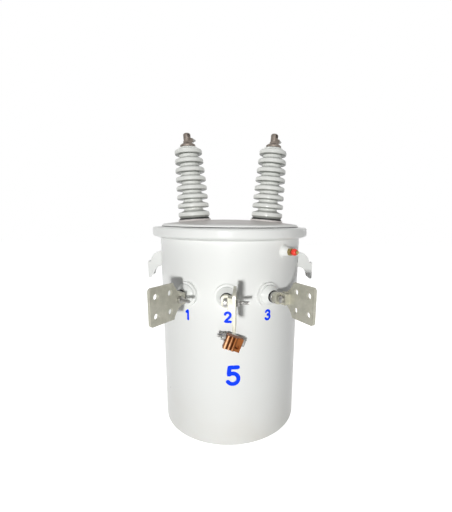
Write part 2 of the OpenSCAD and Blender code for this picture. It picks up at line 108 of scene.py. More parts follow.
class Wire:
    """A value in a material's node tree that takes part in Python arithmetic."""

    def __init__(self, kit: "NodeKit", socket: bpy.types.NodeSocket) -> None:
        """Keeps the tree and the output socket that the value comes from."""
        self.kit = kit
        self.socket = socket

    def _math(self, operation: str, first: Any, second: Any) -> "Wire":
        """Adds one Math node.

        Args:
            operation: The Math node's operation.
            first: Its first value or wire.
            second: Its second value or wire.

        Returns:
            The node's result.
        """
        return self.kit.add("ShaderNodeMath", {"operation": operation}, {0: first, 1: second})

    def __add__(self, other: Any) -> "Wire":
        """Sum."""
        return self._math("ADD", self, other)

    def __radd__(self, other: Any) -> "Wire":
        """Reflected sum."""
        return self._math("ADD", other, self)

    def __sub__(self, other: Any) -> "Wire":
        """Difference."""
        return self._math("SUBTRACT", self, other)

    def __rsub__(self, other: Any) -> "Wire":
        """Reflected difference."""
        return self._math("SUBTRACT", other, self)

    def __mul__(self, other: Any) -> "Wire":
        """Product."""
        return self._math("MULTIPLY", self, other)

    def __rmul__(self, other: Any) -> "Wire":
        """Reflected product."""
        return self._math("MULTIPLY", other, self)

    def ramp(self, low: float, high: float) -> "Wire":
        """Maps low to 0 and high to 1, held between them.

        Args:
            low: The value that becomes 0.
            high: The value that becomes 1.

        Returns:
            The mapped value.
        """
        values = {"Value": self, "From Min": low, "From Max": high, "To Min": 0.0, "To Max": 1.0}
        return self.kit.add("ShaderNodeMapRange", {"clamp": True}, values)


class NodeKit:
    """Adds nodes to one material's tree."""

    def __init__(self, tree: bpy.types.NodeTree) -> None:
        """Keeps the tree that new nodes go to."""
        self.tree = tree

    def add(self, kind: str, settings: dict[str, Any], values: dict[Any, Any], output: Any = 0) -> Wire:
        """Adds a node of any kind.

        Args:
            kind: The node's type name.
            settings: The node's own properties, set first.
            values: Socket names or numbers, with the plain values or wires that go in.
            output: The name or number of the output that is wanted.

        Returns:
            The output as a wire.
        """
        node = self.tree.nodes.new(kind)
        for key, value in settings.items():
            setattr(node, key, value)
        for key, value in values.items():
            if isinstance(value, Wire):
                self.tree.links.new(value.socket, node.inputs[key])
            else:
                node.inputs[key].default_value = value
        return Wire(self, node.outputs[output])

    def place(self) -> Wire:
        """Object coordinates, in metres."""
        return self.add("ShaderNodeTexCoord", {}, {}, "Object")

    def height(self) -> Wire:
        """Height above the floor, in metres."""
        return self.add("ShaderNodeSeparateXYZ", {}, {0: self.place()}, "Z")

    def depth(self) -> Wire:
        """Distance behind the tank's axis, in metres."""
        return self.add("ShaderNodeSeparateXYZ", {}, {0: self.place()}, "Y")

    def noise(self, scale: float, detail: float = 3.0, rough: float = 0.5) -> Wire:
        """Cloudy noise on object coordinates.

        Args:
            scale: Features per metre.
            detail: Octaves of finer noise.
            rough: How strong the finer octaves are.

        Returns:
            The noise, from 0 to 1.
        """
        values = {"Vector": self.place(), "Scale": scale, "Detail": detail, "Roughness": rough}
        return self.add("ShaderNodeTexNoise", {}, values, 0)

    def stretched(self, scale: float, stretch: Triple, detail: float = 4.0) -> Wire:
        """Noise that is drawn out along an axis, such as brush marks.

        Args:
            scale: Features per metre.
            stretch: How much finer the noise is along each axis.
            detail: Octaves of finer noise.

        Returns:
            The noise, from 0 to 1.
        """
        mapped = self.add("ShaderNodeMapping", {}, {"Vector": self.place(), "Scale": stretch})
        values = {"Vector": mapped, "Scale": scale, "Detail": detail}
        return self.add("ShaderNodeTexNoise", {}, values, 0)

    def mix(self, share: Any, first: Any, second: Any) -> Wire:
        """Blends two colours.

        Args:
            share: How much of the second colour shows.
            first: The first colour, plain or a wire.
            second: The second colour, plain or a wire.

        Returns:
            The blended colour.
        """
        values = {
            MIX_SHARE: share,
            MIX_FIRST: first if isinstance(first, Wire) else (*first, 1.0),
            MIX_SECOND: second if isinstance(second, Wire) else (*second, 1.0),
        }
        return self.add("ShaderNodeMix", {"data_type": "RGBA"}, values, MIX_RESULT)

    def bump(self, height: Wire, distance: float, strength: float, under: Wire | None = None) -> Wire:
        """Turns a height into a surface normal.

        Args:
            height: The height, from 0 to 1.
            distance: The depth of a full step, in metres.
            strength: How much of it shows.
            under: Another bump's normal that this one lies on.

        Returns:
            The normal.
        """
        values = {"Height": height, "Distance": distance, "Strength": strength}
        if under is not None:
            values["Normal"] = under
        return self.add("ShaderNodeBump", {}, values)

    def seen(self) -> Wire:
        """1 for camera rays, in reflections and through glass, and 0 for the light on the object."""
        plain = self.add("ShaderNodeLightPath", {}, {}, "Is Camera Ray")
        shiny = self.add("ShaderNodeLightPath", {}, {}, "Is Glossy Ray")
        clear = self.add("ShaderNodeLightPath", {}, {}, "Is Transmission Ray")
        return (plain + shiny + clear).ramp(0.0, 1.0)


@dataclass(frozen=True)
class Grain:
    """A cloudy pattern: its noise, the stretch of it that shows, and how strongly it shows."""

    scale: float
    detail: float
    low: float
    high: float
    share: float = 1.0
    rough: float = 0.5

    def on(self, kit: NodeKit) -> Wire:
        """The pattern in a material, from 0 to its share."""
        return kit.noise(self.scale, self.detail, self.rough).ramp(self.low, self.high) * self.share


@dataclass(frozen=True)
class Drift:
    """A slow change of a number, such as the roughness, over a surface."""

    scale: float
    detail: float
    amount: float

    def on(self, kit: NodeKit) -> Wire:
        """The change in a material, from 0 to its amount."""
        return kit.noise(self.scale, self.detail) * self.amount


@dataclass(frozen=True)
class Relief:
    """A fine unevenness: its noise, its depth in metres and how strongly it shows."""

    scale: float
    depth: float
    strength: float
    detail: float = 2.0

    def on(self, kit: NodeKit, under: Wire | None = None) -> Wire:
        """The unevenness in a material as a normal, over another one where there is one."""
        return kit.bump(kit.noise(self.scale, self.detail), self.depth, self.strength, under)


# Finishes


@dataclass(frozen=True)
class Finish:
    """What a surface is made of. Each kind of finish says how its shader varies."""

    name: str
    slot: str
    colour: Colour
    roughness: float

    def shade(self, kit: NodeKit) -> dict[str, Any]:
        """The Principled shader's values for this finish."""
        raise NotImplementedError

    def material(self) -> bpy.types.Material:
        """Makes the material once.

        Returns:
            The material, shared by all the pieces of this finish.
        """
        made = bpy.data.materials.get(self.name)
        if made is not None:
            return made
        made = bpy.data.materials.new(self.name)
        made.use_nodes = True
        kit = NodeKit(made.node_tree)
        shader = made.node_tree.nodes["Principled BSDF"]
        for key, value in self.shade(kit).items():
            if isinstance(value, Wire):
                made.node_tree.links.new(value.socket, shader.inputs[key])
            elif isinstance(value, tuple):
                shader.inputs[key].default_value = (*value, 1.0)
            else:
                shader.inputs[key].default_value = value
        return made


@dataclass(frozen=True)
class TankPaint(Finish):
    """Sprayed enamel on rolled steel, with orange peel, slight waves, dust specks and a warmer, darker
    foot that is painted light bounced from the floor.

    Above a given height the paint is darkened by a painted dark reflection; by default that height lies
    over the whole part.
    """

    coat: float = 0.06
    coat_roughness: float = 0.08
    specular: float = 0.14
    gloss: Drift = Drift(30.0, 4.0, 0.12)
    drift: Grain = Grain(5.0, 4.0, 0.35, 0.75, 0.10)
    drift_tone: float = 0.93
    # Colour of the dust specks, and of the painted bounce light at the foot
    dust_and_bounce: Colour = (0.70, 0.66, 0.58)
    specks: Grain = Grain(420.0, 2.0, 0.70, 0.80, 0.10)
    bounce_height: float = 0.16
    bounce_share: float = 0.45
    bounce_cloud: Grain = Grain(14.0, 5.0, 0.2, 0.8)
    dark_reflection: Colour = (0.57, 0.53, 0.51)
    dark_reflection_from: float = 2.0
    dark_reflection_fade: float = 3.0 * MM
    dark_reflection_cloud: Grain = Grain(22.0, 5.0, -0.5, 0.75)
    wave_scale: float = 7.0
    wave_stretch: Triple = (1.0, 1.0, 0.35)
    wave_depth: float = 1.2 * MM
    wave_strength: float = 0.5
    peel: Relief = Relief(650.0, 0.1 * MM, 0.35)

    def shade(self, kit: NodeKit) -> dict[str, Any]:
        """Off-white enamel whose gloss and tone drift a little, with painted bounce light at the foot
        and a painted dark reflection above a given height.
        """
        worn = tuple(self.drift_tone * c for c in self.colour)
        base = kit.mix(self.drift.on(kit), self.colour, worn)
        base = kit.mix(self.specks.on(kit), base, self.dust_and_bounce)
        # Warmer and darker towards the floor: painted light bounced from the floor
        foot = (1.0 - kit.height().ramp(0.0, self.bounce_height)) * self.bounce_share
        base = kit.mix(foot * self.bounce_cloud.on(kit), base, self.dust_and_bounce)
        # Painted dark reflection above the given height, as on the lid's top
        reflected = kit.height().ramp(self.dark_reflection_from, self.dark_reflection_from + self.dark_reflection_fade)
        base = kit.mix(reflected * self.dark_reflection_cloud.on(kit), base, self.dark_reflection)
        rolled = kit.stretched(self.wave_scale, self.wave_stretch)
        waves = kit.bump(rolled, self.wave_depth, self.wave_strength)
        return {
            "Base Color": base,
            "Roughness": self.roughness + self.gloss.on(kit),
            "Specular IOR Level": self.specular,
            "Coat Weight": self.coat,
            "Coat Roughness": self.coat_roughness,
            "Normal": self.peel.on(kit, waves),
        }


@dataclass(frozen=True)
class Porcelain(Finish):
    """Glazed grey porcelain, deeper where the glaze gathers, and darker under the sheds: painted shade
    there, partly soil where rain doesn't wash it.
    """

    deep: Colour = (0.48, 0.51, 0.47)
    cloud: Grain = Grain(28.0, 4.0, 0.35, 0.8, 0.22)
    specks: Grain = Grain(520.0, 1.0, 0.74, 0.80, 0.2)
    soil_and_shade: Colour = (0.22, 0.235, 0.21)
    soil_and_shade_share: float = 0.75
    gloss: Drift = Drift(45.0, 3.0, 0.08)
    ripple: Relief = Relief(60.0, 0.3 * MM, 0.35)
    specular: float = 0.12
    coat: float = 0.25
    coat_roughness: float = 0.10

    def shade(self, kit: NodeKit) -> dict[str, Any]:
        """Glossy glaze with faint clouds and pin specks, darkened by the mesh's underside attribute:
        painted shade, partly soil.
        """
        base = kit.mix(self.cloud.on(kit), self.colour, self.deep)
        base = kit.mix(self.specks.on(kit), base, self.deep)
        # Painted shade under the sheds, partly soil, read from the underside attribute
        shaded_underside = kit.add("ShaderNodeAttribute", {"attribute_name": UNDERSIDE_SHADE}, {}, "Fac")
        base = kit.mix(shaded_underside * self.soil_and_shade_share, base, self.soil_and_shade)
        return {
            "Base Color": base,
            "Roughness": self.roughness + self.gloss.on(kit),
            "Specular IOR Level": self.specular,
            "Coat Weight": self.coat,
            "Coat Roughness": self.coat_roughness,
            "Normal": self.ripple.on(kit),
        }


@dataclass(frozen=True)
class Rubber(Finish):
    """Dull black gasket rubber."""

    scuffs: Grain = Grain(160.0, 4.0, 0.55, 0.8, 0.4)
    scuff_tone: float = 3.0
    scuff_gloss: float = 0.2
    tooth: Relief = Relief(900.0, 0.1 * MM, 0.4)

    def shade(self, kit: NodeKit) -> dict[str, Any]:
        """Nearly black, with a fine tooth and paler scuffs."""
        scuffed = self.scuffs.on(kit)
        grey = tuple(self.scuff_tone * c for c in self.colour)
        return {
            "Base Color": kit.mix(scuffed, self.colour, grey),
            "Roughness": self.roughness + scuffed * self.scuff_gloss,
            "Normal": self.tooth.on(kit),
        }


@dataclass(frozen=True)
class Metal(Finish):
    """Bare or plated metal, with cloudy tarnish and fine wear."""

    tarnish: Colour = (0.2, 0.2, 0.2)
    tarnish_share: float = 0.4
    tarnish_gloss: float = 0.35
    metallic: float = 1.0
    grain: float = 90.0
    cloud_share: float = 0.7
    fine_share: float = 0.3
    fine_scale: float = 9.0
    fine_depth: float = 0.1 * MM
    fine_strength: float = 0.25
    scratch_scale: float = 240.0
    scratch_stretch: Triple = (1.0, 1.0, 0.08)
    scratch_gloss: float = 0.06
    scratch_depth: float = 0.12 * MM
    scratch_strength: float = 0.35

    def shade(self, kit: NodeKit) -> dict[str, Any]:
        """Metal whose tone and gloss follow its tarnish."""
        cloud = Grain(self.grain, 5.0, 0.35, 0.75, rough=0.6).on(kit)
        fine = Grain(self.grain * self.fine_scale, 3.0, 0.3, 0.8).on(kit)
        share = (cloud * self.cloud_share + fine * self.fine_share) * self.tarnish_share
        scratch = kit.stretched(self.scratch_scale, self.scratch_stretch)
        pits = kit.bump(fine, self.fine_depth, self.fine_strength)
        return {
            "Base Color": kit.mix(share, self.colour, self.tarnish),
            "Roughness": self.roughness + share * self.tarnish_gloss + scratch * self.scratch_gloss,
            "Metallic": self.metallic,
            "Normal": kit.bump(scratch, self.scratch_depth, self.scratch_strength, pits),
        }


@dataclass(frozen=True)
class HighlitCopper(Metal):
    """Brown cast copper, with a painted highlight: lighter on the crests that face the front."""

    crest: float = 0.0
    highlight_tone: Colour = (0.80, 0.46, 0.26)
    highlight_depth: float = 1.9 * MM
    highlight_grain: Grain = Grain(160.0, 2.0, 0.15, 0.55)

    def shade(self, kit: NodeKit) -> dict[str, Any]:
        """Tarnished copper with painted highlights on the front crests."""
        inputs = super().shade(kit)
        # Painted highlight on the crests nearest the front, broken up by a grain
        behind = kit.depth().ramp(self.crest, self.crest + self.highlight_depth)
        bright = (1.0 - behind) * self.highlight_grain.on(kit)
        inputs["Base Color"] = kit.mix(bright, inputs["Base Color"], self.highlight_tone)
        return inputs


@dataclass(frozen=True)
class Enamel(Finish):
    """A thin coat of glossy colour, as on a plastic cap or a brushed-on mark."""

    coat: float = 0.3
    specular: float = 0.5
    thinness: Grain = Grain(120.0, 4.0, 0.4, 0.8, 0.18)
    thin_tone: float = 0.7
    thin_gloss: float = 0.4
    skin: Relief = Relief(300.0, 0.1 * MM, 0.3)

    def shade(self, kit: NodeKit) -> dict[str, Any]:
        """Strong colour with slightly uneven cover."""
        thin = self.thinness.on(kit)
        dark = tuple(self.thin_tone * c for c in self.colour)
        return {
            "Base Color": kit.mix(thin, self.colour, dark),
            "Roughness": self.roughness + thin * self.thin_gloss,
            "Specular IOR Level": self.specular,
            "Coat Weight": self.coat,
            "Normal": self.skin.on(kit),
        }


PAINT = TankPaint("tank_enamel", "tank_paint", (0.80, 0.81, 0.79), 0.24)
# The lid's top is darkened by a painted dark reflection from 0.5995 m up
LID_PAINT = TankPaint(
    "lid_enamel", "tank_paint", (0.80, 0.81, 0.79), 0.36, coat=0.0, specular=0.20, dark_reflection_from=0.5995
)
# The lugs wear the tank's enamel, painted darker: painted shade
SHADED_LUG_PAINT = TankPaint("shaded_lug_enamel", "tank_paint", (0.70, 0.71, 0.69), 0.36, coat=0.0, specular=0.15)
# The high-voltage glaze darkens strongly under its sheds: painted shade, partly soil
GLAZE = Porcelain(
    "grey_glaze", "porcelain", (0.79, 0.80, 0.765), 0.28, soil_and_shade=(0.14, 0.15, 0.13), soil_and_shade_share=0.9
)
PALE_GLAZE = Porcelain("pale_glaze", "porcelain", (0.80, 0.815, 0.79), 0.30, deep=(0.68, 0.70, 0.67))
GASKET = Rubber("gasket_rubber", "rubber", (0.012, 0.012, 0.012), 0.62)
TINNED = Metal(
    "tinned_bronze", "tinned", (0.51, 0.50, 0.425), 0.38,
    tarnish=(0.27, 0.265, 0.21), tarnish_share=0.6, metallic=0.6, grain=60.0,
)
BRONZE = Metal(
    "weathered_bronze", "bronze", (0.27, 0.23, 0.20), 0.38,
    tarnish=(0.07, 0.055, 0.045), tarnish_share=0.7, metallic=0.9,
)
STEEL = Metal(
    "zinc_steel", "steel", (0.42, 0.415, 0.40), 0.22, tarnish=(0.14, 0.135, 0.125), tarnish_share=0.5
)
COPPER = HighlitCopper(
    "cast_copper", "copper", (0.23, 0.08, 0.024), 0.24,
    tarnish=(0.07, 0.022, 0.007), tarnish_share=0.6, grain=70.0,
)
BRASS = Metal(
    "valve_brass", "brass", (0.46, 0.37, 0.17), 0.30, tarnish=(0.16, 0.11, 0.045), tarnish_share=0.5
)
RED = Enamel("red_cap", "red_ring", (0.85, 0.032, 0.010), 0.28)
BLUE = Enamel("blue_mark", "tank_paint", (0.002, 0.055, 0.97), 0.5, coat=0.0, specular=0.1)


# Mesh kit

# Share of an edge that a rounded corner may take
CORNER_REACH = 0.49

# A thread's depth, and its form as (share of a pitch, whether on the crest)
THREAD_DEPTH = 0.55
THREAD_FORM = ((0.12, False), (0.44, True), (0.56, True), (0.88, False))
ROD_STEPS = 32

# Segments of a stroke's bar and of its round ends
BAR_RESOLUTION = 3
END_SEGMENTS = 16
END_RINGS = 10


def turns(count: int) -> list[float]:
    """Evenly spaced angles round a full turn."""
    return [FULL_TURN * step / count for step in range(count)]


def circle(radius: float, height: float, count: int) -> list[Vector]:
    """Evenly spaced points of a circle about Z.

    Args:
        radius: The circle's radius.
        height: Its height.
        count: Number of points.

    Returns:
        The points in order.
    """
    return [Vector((radius * math.cos(turn), radius * math.sin(turn), height)) for turn in turns(count)]


def filleted(corners: Sequence[Corner], steps: int = 6) -> list[Point]:
    """Rounds the corners of an open outline.

    Args:
        corners: Points as (out, up, radius), where a radius of 0 keeps the corner sharp.
        steps: Segments of each rounded corner.

    Returns:
        The outline's points, as (out, up).
    """
    points: list[Point] = []
    for index, (out, up, radius) in enumerate(corners):
        here = Vector((out, up))
        if radius <= 0.0 or index in (0, len(corners) - 1):
            points.append((out, up))
            continue
        before = Vector(corners[index - 1][:2]) - here
        after = Vector(corners[index + 1][:2]) - here
        half = before.angle(after) / 2
        room = CORNER_REACH * min(before.length, after.length)
        reach = min(radius / math.tan(half), room)
        bend = reach * math.tan(half)
        start = here + before.normalized() * reach
        halfway = (before.normalized() + after.normalized()).normalized()
        centre = here + halfway * (bend / math.sin(half))
        sweep = (start - centre).angle_signed(here + after.normalized() * reach - centre)
        for step in range(steps + 1):
            turn = Matrix.Rotation(-sweep * step / steps, 2)
            points.append(tuple(centre + turn @ (start - centre)))
    return points


def spun(outline: Sequence[Point], steps: int = 96) -> bmesh.types.BMesh:
    """Turns an outline about Z.

    Args:
        outline: Points as (out, up), closed by the axis or by its own first point.
        steps: Segments round the axis.

    Returns:
        The turned shape, with its normals outwards.
    """
    shape = bmesh.new()
    line = [shape.verts.new((out, 0.0, up)) for out, up in outline]
    for first, second in zip(line, line[1:]):
        shape.edges.new((first, second))
    if outline[0][0] > 0.0 and outline[-1][0] > 0.0:
        shape.edges.new((line[-1], line[0]))
    geometry = list(shape.verts) + list(shape.edges)
    bmesh.ops.spin(
        shape,
        geom=geometry,
        cent=(0, 0, 0),
        axis=(0, 0, 1),
        angle=FULL_TURN,
        steps=steps,
        use_merge=True,
    )
    bmesh.ops.remove_doubles(shape, verts=shape.verts, dist=SPUN_MERGE)
    bmesh.ops.recalc_face_normals(shape, faces=shape.faces)
    return shape


def prism(sides: int, width: float, low: float, high: float, chamfer: float) -> bmesh.types.BMesh:
    """A chamfered prism along Z, such as a nut or a bolt's head.

    Args:
        sides: Number of flats.
        width: Distance across two flats.
        low: Height of its lower end.
        high: Height of its upper end.
        chamfer: Width of the bevel along its edges.

    Returns:
        The prism.
    """
    shape = bmesh.new()
    radius = width / 2 / math.cos(math.pi / sides)
    bmesh.ops.create_cone(
        shape, cap_ends=True, segments=sides, radius1=radius, radius2=radius, depth=high - low
    )
    bmesh.ops.translate(shape, verts=shape.verts, vec=(0, 0, (low + high) / 2))
    bmesh.ops.bevel(
        shape,
        geom=list(shape.edges),
        offset=chamfer,
        segments=2,
        profile=0.5,
        affect="EDGES",
        material=-1,
    )
    return shape


def threaded(diameter: float, low: float, high: float, pitch: float) -> bmesh.types.BMesh:
    """A threaded rod along Z, with one groove a pitch and plain ends.

    Args:
        diameter: Outside diameter of the thread.
        low: Height of its lower end.
        high: Height of its upper end.
        pitch: Distance from one crest to the next.

    Returns:
        The rod.
    """
    crest = diameter / 2
    root = crest - THREAD_DEPTH * pitch
    outline: list[Point] = [(0.0, low), (root, low)]
    for groove in range(max(1, int((high - low) / pitch) - 1)):
        base = low + groove * pitch
        outline += [(crest if raised else root, base + share * pitch) for share, raised in THREAD_FORM]
    outline += [(root, high), (0.0, high)]
    return spun(outline, ROD_STEPS)


def joined(*shapes: bmesh.types.BMesh) -> bmesh.types.BMesh:
    """Puts several shapes in one mesh and frees the parts.

    Args:
        shapes: The shapes to join.

    Returns:
        One shape that holds them all.
    """
    whole = bmesh.new()
    for shape in shapes:
        carrier = bpy.data.meshes.new("carrier")
        shape.to_mesh(carrier)
        shape.free()
        whole.from_mesh(carrier)
        bpy.data.meshes.remove(carrier)
    return whole


def moved(shape: bmesh.types.BMesh, place: Matrix) -> bmesh.types.BMesh:
    """Applies a place to a shape and returns the same shape."""
    bmesh.ops.transform(shape, matrix=place, verts=shape.verts)
    return shape


def placed(
    shape: bmesh.types.BMesh,
    name: str,
    finish: Finish,
    nodes: Sequence[str] = (),
    sharp: float = SMOOTH_BEND,
) -> bpy.types.Object:
    """Makes a shape a piece of the object.

    Args:
        shape: The finished shape, already in its place.
        name: The piece's name.
        finish: What it is made of.
        nodes: The frame's nodes that it stands for.
        sharp: Edges that bend more than this, in degrees, stay sharp.

    Returns:
        The piece.
    """
    mesh = bpy.data.meshes.new(name)
    shape.to_mesh(mesh)
    shape.free()
    mesh.shade_smooth()
    mesh.set_sharp_from_angle(angle=math.radians(sharp))
    piece = bpy.data.objects.new(name, mesh)
    bpy.context.scene.collection.objects.link(piece)
    mesh.materials.append(finish.material())
    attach(piece, BODY)
    if nodes:
        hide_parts(*nodes)
    LOG.info("%s: %d faces", name, len(mesh.polygons))
    return piece


def softened(node: str, finish: Finish, edge: float, segments: int = 2) -> bpy.types.Object:
    """Makes a copy of a node with its sharp edges eased, and lets it stand for the node.

    Args:
        node: The frame's node.
        finish: What it is made of.
        edge: Width of the eased edge.
        segments: Segments across the eased edge.

    Returns:
        The piece.
    """
    shape = bmesh.new()
    shape.from_mesh(bpy.data.objects[node].data)
    bmesh.ops.remove_doubles(shape, verts=shape.verts, dist=NODE_MERGE)
    flat = math.radians(FLAT_BEND)
    bmesh.ops.dissolve_limit(shape, angle_limit=flat, verts=list(shape.verts), edges=list(shape.edges))
    piece = placed(shape, f"{node}_eased", finish, [node], EASED_BEND)
    bevel = piece.modifiers.new("eased_edges", "BEVEL")
    bevel.width = edge
    bevel.segments = segments
    bevel.limit_method = "ANGLE"
    bevel.angle_limit = math.radians(EASED_BEND)
    bevel.harden_normals = True
    return piece


def middle(node: str) -> Vector:
    """The middle of a node's box."""
    low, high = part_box(node)
    return (low + high) / 2


def along(start: Vector, ahead: Vector, up: Vector) -> Matrix:
    """A place whose Z points ahead and whose Y is as near to up as it can be.

    Args:
        start: The place's origin.
        ahead: Direction of its Z.
        up: Direction that its Y leans to.

    Returns:
        The place as a matrix.
    """
    z_axis = ahead.normalized()
    x_axis = up.cross(z_axis).normalized()
    y_axis = z_axis.cross(x_axis)
    turn = Matrix((x_axis, y_axis, z_axis)).transposed()
    return Matrix.Translation(start) @ turn.to_4x4()


def on_wall(node: str) -> Matrix:
    """A place on the tank's axis at a node's height, with Z out through the node and Y up."""
    centre = middle(node)
    outward = Vector((centre.x, centre.y, 0.0))
    return along(Vector((0.0, 0.0, centre.z)), outward, UP)


def lying(node: str, ahead: Vector, up: Vector) -> tuple[Matrix, Vector]:
    """Finds how a node lies about its own axis.

    Args:
        node: The frame's node.
        ahead: Direction of its axis.
        up: Direction across its axis.

    Returns:
        The place of its lower end, with Z along its axis, and its size along that place's X, Y and Z.
    """
    turn = along(Vector(), ahead, up).to_3x3()
    local = [turn.inverted() @ vertex.co for vertex in bpy.data.objects[node].data.vertices]
    low = Vector([min(point[axis] for point in local) for axis in range(3)])
    high = Vector([max(point[axis] for point in local) for axis in range(3)])
    start = Vector(((low.x + high.x) / 2, (low.y + high.y) / 2, low.z))
    return Matrix.Translation(turn @ start) @ turn.to_4x4(), high - low


def stroke(
    points: Sequence[Vector], radius: float, flat: float = 1.0, closed: bool = False
) -> bmesh.types.BMesh:
    """Runs a round bar along a line of points, with round ends.

    Args:
        points: The line's points.
        radius: Radius of the bar.
        flat: How much of its thickness along Z is kept.
        closed: Whether the line ends where it starts.

    Returns:
        The bar.
    """
    curve = bpy.data.curves.new("stroke", "CURVE")
    curve.dimensions = "3D"
    curve.bevel_depth = radius
    curve.bevel_resolution = BAR_RESOLUTION
    curve.use_fill_caps = not closed
    spline = curve.splines.new("POLY")
    spline.points.add(len(points) - 1)
    spline.use_cyclic_u = closed
    for point, knot in zip(points, spline.points):
        knot.co = (*point, 1.0)
    carrier = bpy.data.objects.new("stroke", curve)
    mesh = bpy.data.meshes.new_from_object(carrier)
    bpy.data.objects.remove(carrier)
    bpy.data.curves.remove(curve)
    shape = bmesh.new()
    shape.from_mesh(mesh)
    bpy.data.meshes.remove(mesh)
    for end in () if closed else (points[0], points[-1]):
        cap = bmesh.ops.create_uvsphere(
            shape, u_segments=END_SEGMENTS, v_segments=END_RINGS, radius=radius
        )
        bmesh.ops.translate(shape, verts=cap["verts"], vec=end)
    for vertex in shape.verts:
        vertex.co.z *= flat
    bmesh.ops.recalc_face_normals(shape, faces=shape.faces)
    return shape


def wrapped(
    shape: bmesh.types.BMesh, radius: float, azimuth: float, height: float
) -> bmesh.types.BMesh:
    """Bends a flat shape round the tank.

    Args:
        shape: The shape, drawn with X along the wall, Y up and Z out.
        radius: Radius of the wall.
        azimuth: Angle of the shape's origin from the front.
        height: Height of the shape's origin.

    Returns:
        The same shape, on the wall.
    """
    for vertex in shape.verts:
        angle = azimuth + vertex.co.x / radius
        out = radius + vertex.co.z
        vertex.co = (out * math.sin(angle), -out * math.cos(angle), height + vertex.co.y)
    bmesh.ops.recalc_face_normals(shape, faces=shape.faces)
    return shape


# Sub-assemblies


@dataclass
class Bolt:
    """A hexagon bolt with a nut and a bare threaded tail, in place of one of the frame's bolts."""

    node: str
    ahead: Vector
    up: Vector
    diameter: float
    head: float
    nut: float
    tail: float
    pitch: float = 1.25 * MM
    flats: float = 0.0
    flats_share: float = 1.6
    thread_from: float = 0.4
    chamfer: float = 0.5 * MM
    sides: int = 6
    sharp: float = 32.0

    def build(self) -> None:
        """Makes the head at the lower end, the nut at its place and the thread through both."""
        place, size = lying(self.node, self.ahead, self.up)
        flats = self.flats or self.flats_share * self.diameter
        length = size.z
        start = length - self.tail - self.nut
        shape = joined(
            prism(self.sides, flats, 0.0, self.head, self.chamfer),
            threaded(self.diameter, self.thread_from * self.head, length, self.pitch),
            prism(self.sides, flats, start, start + self.nut, self.chamfer),
        )
        placed(moved(shape, place), f"{self.node}_set", STEEL, [self.node], self.sharp)


@dataclass
class Tank:
    """The rolled tank, its bottom plate and the weld beads on its wall."""

    wall: float = 3.0 * MM
    rim_round: float = 2.5 * MM
    flange_round: float = 1.0 * MM
    foot_bevel: float = 0.8 * MM
    steps: int = 180
    bead: float = 1.6 * MM
    bead_points: int = 64
    weld_reach: float = 1.0 * MM
    lug_unwelded: float = 0.6
    seam_azimuth: float = math.radians(128.0)
    seam_low: float = 4.0 * MM
    seam_drop: float = 20.0 * MM
    radius: float = field(init=False)
    height: float = field(init=False)
    flange: float = field(init=False)

    def __post_init__(self) -> None:
        """Reads the tank's size from the frame."""
        low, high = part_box("tank_wall")
        self.height = high.z
        self.flange = (high.x - low.x) / 2
        bottom_low, bottom_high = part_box("tank_bottom")
        self.radius = (bottom_high.x - bottom_low.x) / 2 + self.wall

    def ring_bead(self, node: str) -> None:
        """Lays a weld bead round a boss, where it meets the wall.

        Args:
            node: The boss.
        """
        place, size = lying(node, on_wall(node).to_3x3() @ UP, UP)
        centre = middle(node)
        shape = stroke(circle(size.x / 2, 0.0, self.bead_points), self.bead, closed=True)
        azimuth = math.atan2(centre.x, -centre.y)
        placed(wrapped(shape, self.radius, azimuth, place.translation.z), f"{node}_weld", PAINT)

    def seam(self, name: str, azimuth: float, low: float, high: float) -> None:
        """Lays an upright weld bead on the wall.

        Args:
            name: The bead's name.
            azimuth: Its angle from the front.
            low: Height of its lower end.
            high: Height of its upper end.
        """
        line = [Vector((0.0, low, 0.0)), Vector((0.0, high, 0.0))]
        placed(wrapped(stroke(line, self.bead), self.radius, azimuth, 0.0), name, PAINT)

    def plate_beads(self, node: str, above: float) -> None:
        """Lays upright weld beads where a welded plate's outer faces meet the wall.

        Args:
            node: The welded piece.
            above: Share of its height under which it is left unwelded.
        """
        low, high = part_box(node)
        floor = low.z + above * (high.z - low.z)
        near = [
            vertex.co
            for vertex in bpy.data.objects[node].data.vertices
            if vertex.co.xy.length < self.radius + self.weld_reach and vertex.co.z > floor
        ]
        start = min(point.z for point in near)
        end = max(point.z for point in near)
        azimuths = [math.atan2(point.x, -point.y) % FULL_TURN for point in near]
        for number, azimuth in enumerate((min(azimuths), max(azimuths))):
            self.seam(f"{node}_weld_{number}", azimuth, start, end)

    def build(self) -> None:
        """Makes the wall with its rolled flange, eases the bottom plate and lays the welds."""
        inner = self.radius - self.wall
        outline = filleted([
            (inner, 0.0, 0.0),
            (self.radius - self.foot_bevel, 0.0, 0.0),
            (self.radius, self.foot_bevel, 0.0),
            (self.radius, self.height - self.wall, self.rim_round),
            (self.flange, self.height - self.wall, self.flange_round),
            (self.flange, self.height, self.flange_round),
            (inner, self.height, 0.0),
        ])
        placed(spun(outline, self.steps), "tank_shell", PAINT, ["tank_wall"])
        softened("tank_bottom", PAINT, self.foot_bevel)
        for node in ("lv_boss_left", "lv_boss_centre", "lv_boss_right", "ground_boss", "relief_boss"):
            self.ring_bead(node)
        for node in ("upper_hanger", "lower_hanger"):
            self.plate_beads(node, 0.0)
        for node in ("lifting_lug_left", "lifting_lug_right"):
            self.plate_beads(node, self.lug_unwelded)
        self.seam("tank_seam", self.seam_azimuth, self.seam_low, self.height - self.seam_drop)


